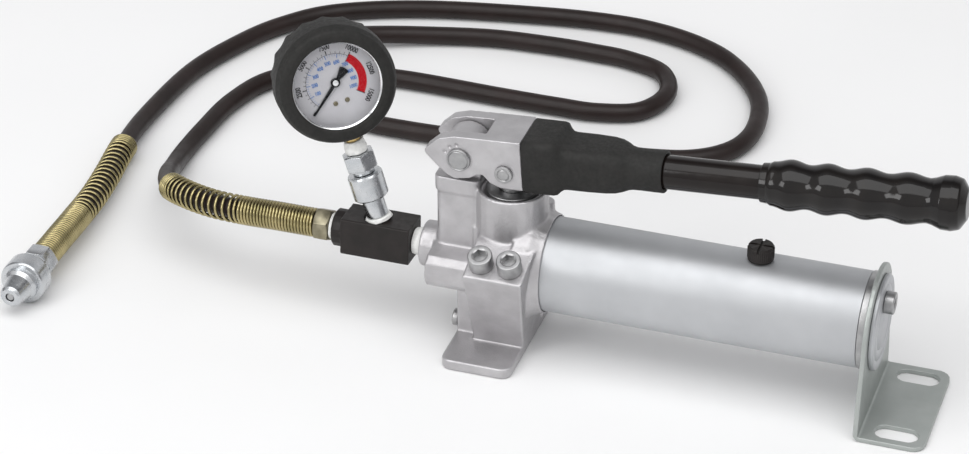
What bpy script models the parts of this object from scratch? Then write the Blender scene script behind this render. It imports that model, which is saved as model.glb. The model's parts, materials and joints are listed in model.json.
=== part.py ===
"""Hydraulic hand pump with pressure gauge, hose and coupler.

Frame: +Z up, +X along the reservoir tube towards the rear bracket, +Y to the far side.
The origin is on the floor, under the plunger's axis. Every size is in millimetres, and
MM turns it into Blender's metres where a mesh or a place is made.
"""

import math

import bmesh
import bpy
from mathutils import Matrix, Vector

for old in list(bpy.data.objects):
    bpy.data.objects.remove(old, do_unlink=True)

MM = 0.001
GAP = 0.3
WELD_DISTANCE = 0.000003

TUBE_Z = 60
TUBE_R = 30
TUBE_BORE_R = 27
TUBE_START = 14.2
TUBE_END = 226
SPIGOT_R = TUBE_BORE_R - GAP
TIE_ROD_Z = 75
SUCTION_Z = 41
FILLER_X = 158.5
PLATE_X = 230.6
SHEET = 3
FOOT_END = 274.2
FOOT_HALF = 43.5

PLUNGER_R = 8
BOSS_R = 23
BOSS_TOP = 112.4
SEAL_LOW = 84
GLAND_LOW = 92
RECESS_Z = 107.4
LEDGE_TILT = math.radians(22)
SIDE_LUG = (17, 15, 0)

FULCRUM = (-28.9, 0, 134.8)
PLUNGER_PIN = (0, 0, 129.8)
FORK_HALF = 17.3
FORK_GAP = 9
HANDLE_TILT = math.radians(3.78)
HANDLE_START = (0, 0, 133.6)
SHAFT_R = 10.5
BOOT_START = 11.6
X_UP = Matrix.Rotation(math.pi / 2, 4, "Y")

OUTLET_Z = 59
OUTLET_FACE = -57.5
TEE_SIDE = 24.5
TEE_START = -64.5
TEE_END = -117
BORE_R = 6.3
RELIEF_AXIS = (-20, 55.5)
RELEASE_AXIS = (26, 50)

GAUGE_PORT = Vector((-87.8, 0, 70))
STEM_AXIS = Vector((-0.317, 0.063, 0.946)).normalized()
STEM_TO_CENTRE = 97.5
DIAL_LOOKS = Vector((0.50, -0.84, 0.23))
NEEDLE_REST = math.radians(-130)

HOSE_R = 6.5
GUARD_R = 9.5
GUARD_BORE_R = 7.2
HOSE_POINTS = 70
PUMP_GUARD_POINTS = 4
FAR_GUARD_POINTS = 5
COUPLER_X = -310
COUPLER_Z = 15.3
HOSE_END_Y = -31

HOSE_ROUTE = [
    (-130.3, 0, 59), (-155, 0, 59), (-181, 1, 58), (-205, 7, 55), (-229, 20, 50),
    (-250, 41, 41), (-265, 72, 28), (-276, 105, 13), (-281, 135, 7), (-280, 170, 6.8),
    (-276, 211, 6.8), (-261, 249, 6.8), (-225, 272, 6.8), (-172, 279, 6.8), (-98, 277, 6.8),
    (-55, 276.5, 6.8), (-27, 277.5, 6.8), (1.5, 288.5, 6.8), (13, 317, 6.8), (1.5, 345.5, 6.8),
    (-27, 357, 6.8), (-55, 359.5, 6.8), (-85, 360, 6.8), (-130, 357, 6.8), (-176, 345, 7.5),
    (-210, 328, 11), (-234, 305, 17), (-245, 280, 20.6), (-243, 258, 20.8), (-232, 237, 17),
    (-210, 222, 11), (-180, 214, 7), (-145, 212, 6.8), (-100, 214, 6.8), (-40, 220, 6.8),
    (15, 227, 6.8), (52, 236, 6.8), (75, 255, 6.8), (84, 283, 6.8), (80, 320, 6.8),
    (66, 350, 6.8), (44, 376, 6.8), (20, 392, 6.8), (-11, 403, 6.8), (-47, 407, 6.8),
    (-103, 402, 6.8), (-191, 384, 6.8), (-252, 358, 6.8), (-284, 326, 6.8), (-304, 289, 6.8),
    (-320, 239, 6.8), (-325, 168, 7.5), (-321, 120, 9.8), (-316, 85, 10.8), (-312, 52, 12.5),
    (-310.3, 20, 14.5), (-310, -5, 15.2), (COUPLER_X, HOSE_END_Y, COUPLER_Z),
]

FINISHES = {
    "cast": ((0.60, 0.61, 0.62), 0.50, 0.70),
    "satin": ((0.66, 0.67, 0.69), 0.35, 0.75),
    "bracket": ((0.58, 0.60, 0.58), 0.45, 0.60),
    "steel": ((0.70, 0.70, 0.71), 0.28, 1.00),
    "zinc": ((0.78, 0.79, 0.80), 0.22, 1.00),
    "yellow_zinc": ((0.72, 0.60, 0.30), 0.28, 1.00),
    "brass": ((0.72, 0.52, 0.22), 0.30, 1.00),
    "black_metal": ((0.02, 0.02, 0.02), 0.40, 0.20),
    "tape": ((0.88, 0.88, 0.86), 0.60, 0.00),
    "rubber": ((0.03, 0.03, 0.03), 0.75, 0.00),
    "hose": ((0.035, 0.022, 0.018), 0.45, 0.00),
    "gloss_black": ((0.012, 0.010, 0.010), 0.18, 0.00),
    "dial": ((0.80, 0.80, 0.78), 0.60, 0.00),
    "glass": ((0.90, 0.95, 0.95), 0.05, 0.00),
}


def paint(obj, finish):
    colour, roughness, metallic = FINISHES[finish]
    material = bpy.data.materials.new(obj.name + "_finish")
    material.use_nodes = True
    shader = material.node_tree.nodes["Principled BSDF"]
    shader.inputs["Base Color"].default_value = (*colour, 1)
    shader.inputs["Roughness"].default_value = roughness
    shader.inputs["Metallic"].default_value = metallic
    obj.data.materials.append(material)


def add_object(name, data, frame, finish):
    """Links the object. One with no finish is a cutter or a shape to join, so it isn't rendered."""
    obj = bpy.data.objects.new(name, data)
    bpy.context.scene.collection.objects.link(obj)
    obj.matrix_world = frame
    if finish:
        paint(obj, finish)
    else:
        obj.hide_render = True
        obj.display_type = "WIRE"
    return obj


def add_mesh(name, bm, frame, finish):
    bmesh.ops.recalc_face_normals(bm, faces=bm.faces)
    mesh = bpy.data.meshes.new(name)
    bm.to_mesh(mesh)
    bm.free()
    mesh.shade_smooth()
    mesh.set_sharp_from_angle(angle=math.radians(35))
    return add_object(name, mesh, frame, finish)


def facing(base, axis):
    """The frame at base whose +Z lies along axis."""
    turn = Vector((0, 0, 1)).rotation_difference(Vector(axis))
    return Matrix.Translation(Vector(base) * MM) @ turn.to_matrix().to_4x4()


def framed(origin, right, up, out):
    turn = Matrix((right, up, out)).transposed()
    return Matrix.Translation(Vector(origin) * MM) @ turn.to_4x4()


def lathe(name, finish, profile, frame, steps=18):
    """A turned solid: profile holds (radius, height) points about the frame's +Z."""
    bm = bmesh.new()
    verts = [bm.verts.new((radius * MM, 0, height * MM)) for radius, height in profile]
    edges = [bm.edges.new(pair) for pair in zip(verts, verts[1:])]
    if profile[0][0] > 0:
        edges.append(bm.edges.new((verts[-1], verts[0])))
    bmesh.ops.spin(
        bm, geom=verts + edges, cent=(0, 0, 0), axis=(0, 0, 1), dvec=(0, 0, 0),
        angle=2 * math.pi, steps=steps, use_merge=True,
    )
    bmesh.ops.remove_doubles(bm, verts=bm.verts, dist=1e-7)
    return add_mesh(name, bm, frame, finish)


def rod(name, finish, radius, low, high, frame, steps=18):
    return lathe(name, finish, [(0, low), (radius, low), (radius, high), (0, high)], frame, steps)


def ring(name, finish, outer, inner, low, high, frame, steps=18):
    profile = [(inner, low), (outer, low), (outer, high), (inner, high)]
    return lathe(name, finish, profile, frame, steps)


def ball(name, finish, radius, centre):
    bm = bmesh.new()
    bmesh.ops.create_uvsphere(bm, u_segments=8, v_segments=6, radius=radius * MM)
    return add_mesh(name, bm, Matrix.Translation(Vector(centre) * MM), finish)


def seal_ring(name, radius, section, frame):
    """A round-section ring, turned from a circle of 6 points."""
    angles = [math.tau * i / 6 for i in range(6)]
    profile = [(radius + section * math.cos(a), section * math.sin(a)) for a in angles]
    return lathe(name, "rubber", profile, frame, steps=20)


PLANES = {
    "XY": lambda a, b, height: Vector((a, b, height)),
    "XZ": lambda a, b, height: Vector((a, height, b)),
    "YZ": lambda a, b, height: Vector((height, a, b)),
}


def prism(name, finish, outline, low, high, plane="XY", frame=Matrix()):
    """The outline, drawn in a plane, extruded from low to high along the plane's normal."""
    spot = PLANES[plane]
    bm = bmesh.new()
    face = bm.faces.new([bm.verts.new(spot(a, b, low) * MM) for a, b in outline])
    grown = bmesh.ops.extrude_face_region(bm, geom=[face])["geom"]
    moved = [v for v in grown if isinstance(v, bmesh.types.BMVert)]
    bmesh.ops.translate(bm, verts=moved, vec=spot(0, 0, high - low) * MM)
    return add_mesh(name, bm, frame, finish)


def box(name, finish, low, high, frame=Matrix()):
    outline = [(low[0], low[1]), (high[0], low[1]), (high[0], high[1]), (low[0], high[1])]
    return prism(name, finish, outline, low[2], high[2], "XY", frame)


def rounded(corners, steps=4):
    """The outline through corners of (a, b, radius), each rounded by an arc."""
    outline = []
    for i, (a, b, radius) in enumerate(corners):
        here = Vector((a, b))
        if radius == 0:
            outline.append((a, b))
            continue
        before = (Vector(corners[i - 1][:2]) - here).normalized()
        after = (Vector(corners[(i + 1) % len(corners)][:2]) - here).normalized()
        half = before.angle(after) / 2
        centre = here + (before + after).normalized() * (radius / math.sin(half))
        first = here + before * (radius / math.tan(half)) - centre
        last = here + after * (radius / math.tan(half)) - centre
        start = math.atan2(first.y, first.x)
        turn = math.remainder(math.atan2(last.y, last.x) - start, math.tau)
        for k in range(steps + 1):
            angle = start + turn * k / steps
            outline.append((centre.x + radius * math.cos(angle), centre.y + radius * math.sin(angle)))
    return outline


def rounded_box(low, high, radius):
    corners = [(low[0], low[1]), (high[0], low[1]), (high[0], high[1]), (low[0], high[1])]
    return rounded([(a, b, radius) for a, b in corners])


def polygon(sides, across_flats):
    radius = across_flats / 2 / math.cos(math.pi / sides)
    angles = [math.tau * i / sides for i in range(sides)]
    return [(radius * math.cos(a), radius * math.sin(a)) for a in angles]


def boolean(obj, operation, tools, solver="EXACT"):
    for tool in tools:
        modifier = obj.modifiers.new(tool.name, "BOOLEAN")
        modifier.operation = operation
        modifier.object = tool
        modifier.solver = solver


def cut(obj, *tools):
    boolean(obj, "DIFFERENCE", tools)


def weld(obj, *tools):
    boolean(obj, "UNION", tools)


def loft(name, finish, rings, frame):
    """Skins a closed chain of rings, each with the same number of points."""
    bm = bmesh.new()
    loops = [[bm.verts.new(Vector(point) * MM) for point in points] for points in rings]
    for here, after in zip(loops, loops[1:] + loops[:1]):
        for i in range(len(here)):
            j = (i + 1) % len(here)
            bm.faces.new((here[i], here[j], after[j], after[i]))
    return add_mesh(name, bm, frame, finish)


def along_x(x, y, z):
    """The frame at a point whose +Z runs along the world's +X."""
    return facing((x, y, z), (1, 0, 0))


def towards_outlet(y, z):
    return facing((0, y, z), (-1, 0, 0))


# --- Pump head -----------------------------------------------------------------------------


def lean(obj, low, high, left, right):
    """Moves the sides of a block outwards in X, by nothing at low and by left and right at high."""
    bm = bmesh.new()
    bm.from_mesh(obj.data)
    bmesh.ops.triangulate(bm, faces=bm.faces)
    for vertex in bm.verts:
        share = (vertex.co.z / MM - low) / (high - low)
        vertex.co.x += MM * share * (left if vertex.co.x < 0 else right)
    bm.to_mesh(obj.data)
    bm.free()


def head_body():
    low, high = 5, 83.5
    block_side = [(-19.5, low), (-50, 72.2), (-23, 83.2), (-16, high), (16, high), (16, low)]
    block = prism("valve_block", None, block_side, -19, 14, "YZ")
    core = box("head_core", None, (-17, -16, low - 1), (10.5, 21, 84.6))
    for piece in (block, core):
        lean(piece, low, high, 3, 9)
    rear_side = box("head_left", None, (-31.6, -14.3, low - 2), (-14, 20, 85.6))
    lug_side = rounded([(-39.9, 112, 0), (-39.9, 145.8, 10.9), (-17.9, 145.8, 10.9), (-17.9, 112, 0)])
    collar = [(0, 8), (35, 8), (35, 18), (31.8, 25), (31.8, 27), (0, 27)]
    return [
        block,
        core,
        rear_side,
        prism("column", None, rounded_box((-46, -13), (-16, 13), 5), 60, 109),
        prism("column_band", None, rounded_box((-47, -14), (-17, 14), 5), 107.3, 118.1),
        prism("fulcrum_lug", None, lug_side, -8, 8, "XZ"),
        rod("plunger_boss", None, BOSS_R, 58, BOSS_TOP, Matrix(), 28),
        rod("outlet_boss", None, 14.8, 11, -OUTLET_FACE, towards_outlet(0, OUTLET_Z), 22),
        rod("relief_boss", None, 12, 13, 47.4, towards_outlet(*RELIEF_AXIS), 16),
        lathe("collar", None, collar, along_x(0, 0, TUBE_Z), 32),
        rod("release_boss", None, 10.5, 13, 40, towards_outlet(*RELEASE_AXIS), 18),
        rod("side_lug", None, 6, 86.9, 95.5, Matrix.Translation(Vector(SIDE_LUG) * MM), 14),
    ]


def valve_screw_axis():
    return Vector((0, -math.sin(LEDGE_TILT), math.cos(LEDGE_TILT)))


VALVE_SCREWS = {"valve_screw_left": (-6.9, -39.6, 76.4), "valve_screw_right": (11.5, -39.6, 76.4)}


def head_cuts():
    tube_seat = [
        (SPIGOT_R, TUBE_START), (TUBE_R + GAP, TUBE_START), (TUBE_R + GAP, 29), (SPIGOT_R, 29),
        (SPIGOT_R, 21.7), (24.2, 21.7), (24.2, 18.3), (SPIGOT_R, 18.3),
    ]
    plunger_bore = [
        (0, 113.5), (20, 113.5), (20, RECESS_Z), (13.4, RECESS_Z), (13.4, SEAL_LOW),
        (8.4, SEAL_LOW), (8.4, 54), (2.5, 50), (2.5, SUCTION_Z - 1), (0, SUCTION_Z - 1),
    ]
    outlet_bore = [(0, 5), (2, 5), (2, 26), (6.4, 29), (6.4, 59), (0, 59)]
    relief_bore = [(0, 14), (1.5, 14), (1.5, 21), (5.4, 24.9), (5.4, 49), (0, 49)]
    release_bore = [(0, 14), (1.5, 14), (1.5, 17), (5.4, 20.9), (5.4, 42), (0, 42)]
    cuts = [
        lathe("cut_tube_seat", None, tube_seat, along_x(0, 0, TUBE_Z), 32),
        lathe("cut_plunger_bore", None, plunger_bore, Matrix(), 22),
        rod("cut_suction", None, 3.6, -1, 29, along_x(0, 0, SUCTION_Z), 12),
        rod("cut_tie_rod", None, 6.3, 13.5, 29, along_x(0, 0, TIE_ROD_Z), 14),
        lathe("cut_outlet", None, outlet_bore, towards_outlet(0, OUTLET_Z), 14),
        lathe("cut_relief", None, relief_bore, towards_outlet(*RELIEF_AXIS), 12),
        lathe("cut_release", None, release_bore, towards_outlet(*RELEASE_AXIS), 12),
        rod("cut_drain", None, 4.4, 21, 34, towards_outlet(-7, 12), 12),
        rod("cut_fulcrum", None, 6.3, -12, 12, facing(FULCRUM, (0, 1, 0)), 14),
    ]
    for name, base in VALVE_SCREWS.items():
        cuts.append(rod("cut_" + name, None, 5.3, -10.5, 6, facing(base, valve_screw_axis()), 12))
    return cuts


def pump_head():
    head = prism("pump_head", "cast", rounded_box((-32, -48.5), (14, 48.5), 7), 0, 7)
    boolean(head, "UNION", head_body(), "MANIFOLD")
    boolean(head, "DIFFERENCE", head_cuts(), "MANIFOLD")
    tidy = head.modifiers.new("tidy", "WELD")
    tidy.merge_threshold = WELD_DISTANCE


def plunger_set():
    bore = PLUNGER_R + GAP
    gland = [
        (bore, GLAND_LOW + GAP), (13.1, GLAND_LOW + GAP), (13.1, RECESS_Z + GAP),
        (16.5, RECESS_Z + GAP), (16.5, 111), (bore, 111),
    ]
    lathe("gland_nut", "steel", gland, Matrix(), 22)
    ring("plunger_seal", "rubber", 13.1, bore, SEAL_LOW + GAP, GLAND_LOW, Matrix())
    plunger = rod("plunger", "steel", PLUNGER_R, 62, 118, Matrix(), 22)
    eye_z = PLUNGER_PIN[2]
    tongue = box("tongue", None, (-12.5, -7, 116), (9.5, 7, 138))
    slot = rounded([
        (-8.7, eye_z - 4.9, 4.8), (5.6, eye_z - 4.9, 4.8),
        (5.6, eye_z + 4.9, 4.8), (-8.7, eye_z + 4.9, 4.8),
    ])
    weld(plunger, tongue)
    cut(plunger, prism("cut_eye", None, slot, -9, 9, "XZ"))


def valves():
    ball("suction_ball", "steel", 4, (0, 0, 53.6))
    ball("delivery_ball", "steel", 4.5, (-30.6, 0, OUTLET_Z))
    ring("delivery_spring", "steel", 5.8, 4.6, 36.8, 45.5, towards_outlet(0, OUTLET_Z), 12)
    ball("relief_ball", "steel", 3, (-24.3, *RELIEF_AXIS))
    ring("relief_spring", "steel", 4.8, 3.6, 27.8, 37.6, towards_outlet(*RELIEF_AXIS), 12)
    relief = rod("relief_screw", "steel", 5, 38, 46.6, towards_outlet(*RELIEF_AXIS), 14)
    cut(relief, prism("cut_relief_hex", None, polygon(6, 5), 43, 48, "XY", towards_outlet(*RELIEF_AXIS)))
    for name, base in VALVE_SCREWS.items():
        frame = facing(base, valve_screw_axis())
        profile = [(0, -10), (5, -10), (5, GAP), (7.7, GAP), (7.7, 9.4), (7.0, 10.1), (0, 10.1)]
        screw = lathe(name, "steel", profile, frame)
        cut(screw, prism("cut_hex_" + name, None, polygon(6, 8), 5, 12, "XY", frame))
    drain = [(0, 23), (4, 23), (4, 32 + GAP), (5.5, 32 + GAP), (5.5, 36), (0, 36)]
    plug = lathe("drain_plug", "steel", drain, towards_outlet(-7, 12), 12)
    cut(plug, prism("cut_drain_hex", None, polygon(6, 5), 33.5, 38, "XY", towards_outlet(-7, 12)))


def release_valve():
    frame = towards_outlet(*RELEASE_AXIS)
    ball("release_ball", "steel", 3, (-20.2, *RELEASE_AXIS))
    rod("release_stem", "steel", 5, 23.6, 47, frame, 14)
    knob = [(0, 47.3), (5.3, 47.3), (5.3, 40.3), (8.7, 40.3), (9.5, 41.2), (9.5, 49), (8.7, 50), (0, 50)]
    lathe("release_knob", "black_metal", knob, frame, 20)


# --- Reservoir -----------------------------------------------------------------------------


def reservoir():
    tube = ring(
        "reservoir_tube", "satin", TUBE_R, TUBE_BORE_R, TUBE_START + GAP, TUBE_END,
        along_x(0, 0, TUBE_Z), 44,
    )
    filler = Matrix.Translation((FILLER_X * MM, 0, 0))
    cut(tube, rod("cut_filler", None, 6.4, 80, 95, filler, 14))
    seal_ring("front_tube_seal", 25.6, 0.9, along_x(20, 0, TUBE_Z))
    seal_ring("rear_tube_seal", 25.6, 0.9, along_x(218.7, 0, TUBE_Z))
    ring("suction_tube", "steel", 3.3, 2, 15, 60, along_x(0, 0, SUCTION_Z), 12)
    strainer = [(0, 62), (3.6, 62), (3.6, 56), (6.5, 56), (6.5, 90), (0, 90)]
    lathe("suction_filter", "brass", strainer, along_x(0, 0, SUCTION_Z), 14)
    rod_profile = [(0, 190), (4.3, 190), (4.3, 213.7), (6, 213.7), (6, 14), (0, 14)]
    lathe("tie_rod", "steel", rod_profile, along_x(0, 0, TIE_ROD_Z), 14)
    cap_profile = [
        (0, 84.5), (6, 84.5), (6, 91.3), (8.35, 91.8), (8.35, 99), (7.6, 100), (0, 100),
    ]
    lathe("filler_cap", "black_metal", cap_profile, filler, 16)
    ring("filler_seal", "rubber", 8, 6.5, 90.3, 91, filler, 14)


def end_fittings():
    axis = along_x(0, 0, TUBE_Z)
    cap = [
        (0, 214), (SPIGOT_R, 214), (SPIGOT_R, 217), (24.2, 217), (24.2, 220.4), (SPIGOT_R, 220.4),
        (SPIGOT_R, TUBE_END + GAP), (30.5, TUBE_END + GAP), (30.5, PLATE_X - GAP),
        (0, PLATE_X - GAP),
    ]
    end_cap = lathe("end_cap", "steel", cap, axis, 32)
    outer_face = PLATE_X + SHEET
    disc = [
        (0, outer_face + GAP), (30, outer_face + GAP), (30, outer_face + 2.2),
        (29.2, outer_face + 3), (0, outer_face + 3),
    ]
    end_disc = lathe("end_disc", "satin", disc, axis, 32)
    screw_hole = rod("cut_screw_hole", None, 4.4, 205, 245, along_x(0, 0, TIE_ROD_Z), 14)
    cut(end_cap, screw_hole)
    cut(end_disc, screw_hole)
    seat = outer_face + 3 + GAP
    screw = [(0, 196), (4, 196), (4, seat), (7, seat), (7, seat + 5.6), (6.5, seat + 6), (0, seat + 6)]
    frame = along_x(0, 0, TIE_ROD_Z)
    end_screw = lathe("end_cap_screw", "steel", screw, frame)
    cut(end_screw, prism("cut_end_hex", None, polygon(6, 6), seat + 2, seat + 8, "XY", frame))
    rear_bracket(screw_hole)


def rear_bracket(screw_hole):
    arc_r = 36.5
    arc = [math.pi * i / 20 for i in range(21)]
    outline = [(arc_r * math.cos(a), TUBE_Z + arc_r * math.sin(a)) for a in arc]
    outline += [(-FOOT_HALF, 10), (-FOOT_HALF, 0), (FOOT_HALF, 0), (FOOT_HALF, 10)]
    bracket = prism("rear_bracket", "bracket", outline, PLATE_X, PLATE_X + SHEET, "YZ")
    foot_outline = rounded([
        (PLATE_X + 1, -FOOT_HALF, 0), (FOOT_END, -FOOT_HALF, 8),
        (FOOT_END, FOOT_HALF, 8), (PLATE_X + 1, FOOT_HALF, 0),
    ])
    weld(bracket, prism("bracket_foot", None, foot_outline, 0, SHEET))
    for side in (-1, 1):
        slot = rounded_box((241.7, side * 31.5 - 6.75), (268.7, side * 31.5 + 6.75), 6.7)
        cut(bracket, prism(f"cut_slot_{side}", None, slot, -2, 6))
    cut(bracket, screw_hole)


# --- Lever ---------------------------------------------------------------------------------


def handle_frame():
    return Matrix.Translation(Vector(HANDLE_START) * MM) @ Matrix.Rotation(-HANDLE_TILT, 4, "Y")


def handle_spot(along, up):
    """World X and Z of a point given along the handle and above its axis."""
    cosine, sine = math.cos(HANDLE_TILT), math.sin(HANDLE_TILT)
    return along * cosine - up * sine, HANDLE_START[2] + along * sine + up * cosine


def lever_fork():
    side = [
        (*handle_spot(11.2, 18.8), 0), (-32.6, 150.2, 8), (-42.4, 147.1, 4), (-52.7, 137.2, 3.5),
        (-42.5, 127.4, 3), (-36.8, 122.7, 2), (-31.6, 120.4, 2), (-21.7, 122.7, 2),
        (-17.8, 125.6, 1), (-13.6, 126.4, 2), (-9.1, 121.6, 2), (-2.1, 119, 2),
        (*handle_spot(11.2, -14.8), 0),
    ]
    fork = prism("lever_fork", "cast", rounded(side, 3), -FORK_HALF, FORK_HALF, "XZ")
    fork.data.transform(Matrix.Translation(-Vector(FULCRUM) * MM))
    fork.matrix_world = Matrix.Translation(Vector(FULCRUM) * MM)
    weld(fork, box("fork_socket", None, (8, -15.3, -13.5), (32, 15.3, 16), handle_frame()))
    shaft_hole = rod("cut_shaft", None, SHAFT_R + GAP, 20, 35, handle_frame() @ X_UP, 20)
    cut(
        fork,
        box("cut_open_slot", None, (-60, -FORK_GAP, 100), (-14, FORK_GAP, 160)),
        box("cut_pocket", None, (-20, -FORK_GAP, 100), (16.5, FORK_GAP, 147)),
        rod("cut_fulcrum_pin", None, 6.3, -25, 25, facing(FULCRUM, (0, 1, 0)), 16),
        rod("cut_plunger_pin", None, 4.8, -25, 25, facing(PLUNGER_PIN, (0, 1, 0)), 14),
        shaft_hole,
    )


def lever_pins():
    for name, centre, radius, head in (
        ("fulcrum_pin", FULCRUM, 6, 7.6), ("plunger_pin", PLUNGER_PIN, 4.5, 5.8),
    ):
        start = -FORK_HALF - GAP
        profile = [
            (0, start - 1.8), (head - 0.5, start - 1.8), (head, start - 1.3), (head, start),
            (radius, start), (radius, FORK_HALF + 1), (0, FORK_HALF + 1),
        ]
        lathe(name, "steel", profile, facing(centre, (0, 1, 0)), 16)


def boot_ring(along, half_width, low, high, corner):
    outline = rounded_box((-half_width, low), (half_width, high), corner - 0.01)
    return [(along, across, up) for across, up in outline]


def lever_handle():
    frame = handle_frame()
    turned = frame @ X_UP
    rod("handle_shaft", "gloss_black", SHAFT_R, 20.4, 266, turned, 20)
    grip = [(0, 266.4), (SHAFT_R + GAP, 266.4), (SHAFT_R + GAP, 157.5), (12, 157.5), (12.6, 162)]
    for bulge, valley in ((174.5, 186), (197.5, 209), (221, 233.5), (245.5, 259)):
        grip += [(15.5, bulge - 4), (15.6, bulge), (15.3, bulge + 4), (13.8, valley)]
    grip += [(16.2, 268), (16.6, 272), (15.5, 277), (11, 281), (0, 282)]
    lathe("handle_grip", "gloss_black", grip, turned, 16)
    outer = [
        boot_ring(BOOT_START, 18.3, -16.9, 19.4, 5), boot_ring(33, 18.3, -16.9, 19.4, 5),
        boot_ring(35.5, 16, -13.4, 14.5, 5), boot_ring(71, 16, -13.4, 14.5, 5),
        boot_ring(78, 13, -13, 13, 13), boot_ring(98, 13, -13, 13, 13),
    ]
    shaft_bore = SHAFT_R + GAP
    bore = (shaft_bore, -shaft_bore, shaft_bore, shaft_bore)
    inner = [
        boot_ring(98, *bore), boot_ring(33.5, *bore),
        boot_ring(32.3, 15.6, -13.8, 16.3, 1), boot_ring(BOOT_START, 15.6, -13.8, 16.3, 1),
    ]
    loft("lever_boot", "rubber", outer + inner, frame)


# --- Outlet, gauge -------------------------------------------------------------------------


def outlet_fittings():
    frame = towards_outlet(0, OUTLET_Z)
    ring("outlet_nipple", "zinc", 6, 2.5, 45.9, 78, frame, 14)
    ring("outlet_seal_ring", "tape", 8.7, BORE_R, 57.8, 64.2, frame, 14)
    half = TEE_SIDE / 2
    square = rounded([(-half, -half, 1), (half, -half, 1), (half, half, 1), (-half, half, 1)], 2)
    tilt = Matrix.Rotation(math.radians(4), 4, "Z")
    tee = prism("gauge_tee", "black_metal", square, -TEE_START, -TEE_END - 7, "XY", frame @ tilt)
    turned_end = [(0, 105), (12.2, 105), (12.2, -TEE_END - 1), (11.2, -TEE_END), (0, -TEE_END)]
    weld(tee, lathe("tee_end", None, turned_end, frame, 16))
    port = facing(GAUGE_PORT, STEM_AXIS)
    cut(
        tee,
        ring_bore(frame),
        rod("cut_port_pocket", None, 9.2, 0, 20, port, 16),
        rod("cut_port", None, 5.3, -9, 2, port, 12),
    )
    ring("hose_seal_ring", "tape", 8.5, BORE_R, 117.3, 119.7, frame, 14)
    hex_fitting = prism("hose_hex_fitting", "zinc", polygon(6, 19), 120, 130, "XY", frame)
    weld(hex_fitting, rod("fitting_thread", None, 6, 103, 125, frame, 14))
    cut(hex_fitting, rod("cut_fitting", None, 2.5, 100, 132, frame, 10))


def ring_bore(frame):
    """The tee's straight bore: wide for each thread, narrow between them."""
    profile = [
        (0, 60), (BORE_R, 60), (BORE_R, 80), (2.5, 82), (2.5, 99), (BORE_R, 101),
        (BORE_R, 120), (0, 120),
    ]
    return lathe("cut_tee_bore", None, profile, frame, 14)


def gauge_stem():
    port = facing(GAUGE_PORT, STEM_AXIS)
    adapter = [
        (1.5, -8.5), (5, -8.5), (5, 3.4), (7, 3.4), (7, 15.7), (5.5, 15.7), (5.5, 33), (1.5, 33),
    ]
    lathe("gauge_adapter", "zinc", adapter, port, 14)
    ring("port_seal_ring", "tape", 8.7, 5.3, GAP, 3.1, port, 14)
    ring("gauge_collar", "zinc", 11.25, 5.8, 16, 33, port, 16)
    hex_piece = prism("gauge_hex", "zinc", polygon(6, 19), 36.6, 47.4, "XY", port)
    weld(hex_piece, rod("hex_neck", None, 7, 33.3, 40, port, 14))
    cut(hex_piece, rod("cut_hex_bore", None, 4.8, 38, 50, port, 12))
    ring("gauge_tape", "tape", 7, 4.8, 47.7, 56, port, 14)
    ring("gauge_stem", "brass", 4.5, 1.5, 38.4, 74, port, 12)


def gauge_frame():
    out = (DIAL_LOOKS - STEM_AXIS * DIAL_LOOKS.dot(STEM_AXIS)).normalized()
    centre = GAUGE_PORT + STEM_AXIS * STEM_TO_CENTRE
    return framed(centre, STEM_AXIS.cross(out), STEM_AXIS, out)


def gauge():
    frame = gauge_frame()
    down = facing(GAUGE_PORT, STEM_AXIS)
    boot = [
        (28, 17.3), (28, 15.3), (34, 15.3), (34, -13.3), (24, -13.3), (24, -16), (35.5, -16),
        (38, -13.5), (38, 14.8), (35.5, 17.3),
    ]
    case = [(0, -13), (33.7, -13), (33.7, 12.2), (31.7, 12.2), (31.7, -11), (0, -11)]
    hole = rod("cut_stem_hole", None, 4.9, 50, 80, down, 12)
    cut(lathe("gauge_boot", "rubber", boot, frame, 48), hole)
    cut(lathe("gauge_case", "steel", case, frame, 40), hole)
    bezel = [(27, 12.5), (33.7, 12.5), (33.7, 14.8), (27.6, 14.8), (27, 14.2)]
    lathe("gauge_bezel", "zinc", bezel, frame, 28)
    rod("gauge_lens", "glass", 31.3, 10, 12, frame, 28)
    ring("gauge_dial", "dial", 31.3, 1.6, 5.5, 6.3, frame, 28)
    ring("gauge_movement", "brass", 8, 1.6, -3, 3.5, frame, 14)
    bourdon_tube(frame)
    needle(frame)


def bourdon_tube(frame):
    """The C-shaped pressure tube, open at the bottom, behind the dial."""
    first, last, bends, sides = math.radians(-50), math.radians(230), 16, 8
    rings = []
    for i in range(bends + 1):
        angle = first + (last - first) * i / bends
        rings.append([
            ((20 + 2.2 * math.cos(a)) * math.cos(angle), (20 + 2.2 * math.cos(a)) * math.sin(angle),
             -6 + 2.2 * math.sin(a))
            for a in (math.tau * k / sides for k in range(sides))
        ])
    bm = bmesh.new()
    loops = [[bm.verts.new(Vector(point) * MM) for point in points] for points in rings]
    for here, after in zip(loops, loops[1:]):
        for i in range(sides):
            j = (i + 1) % sides
            bm.faces.new((here[i], here[j], after[j], after[i]))
    bm.faces.new(loops[0])
    bm.faces.new(loops[-1])
    add_mesh("bourdon_tube", bm, frame, "brass")


def needle(frame):
    pointer = [(-2.6, -10.4), (2.6, -10.4), (1.6, 0), (0.5, 24.5), (-0.5, 24.5), (-1.6, 0)]
    turned = frame @ Matrix.Rotation(-NEEDLE_REST, 4, "Z")
    spindle = [(0, 2), (1.3, 2), (1.3, 6.9), (3, 6.9), (3, 8.6), (0, 8.6)]
    hub = lathe("gauge_needle", "gloss_black", spindle, turned, 12)
    weld(hub, prism("needle_pointer", None, pointer, 7.3, 8.0, "XY", turned))


# --- Hose ----------------------------------------------------------------------------------


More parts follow.
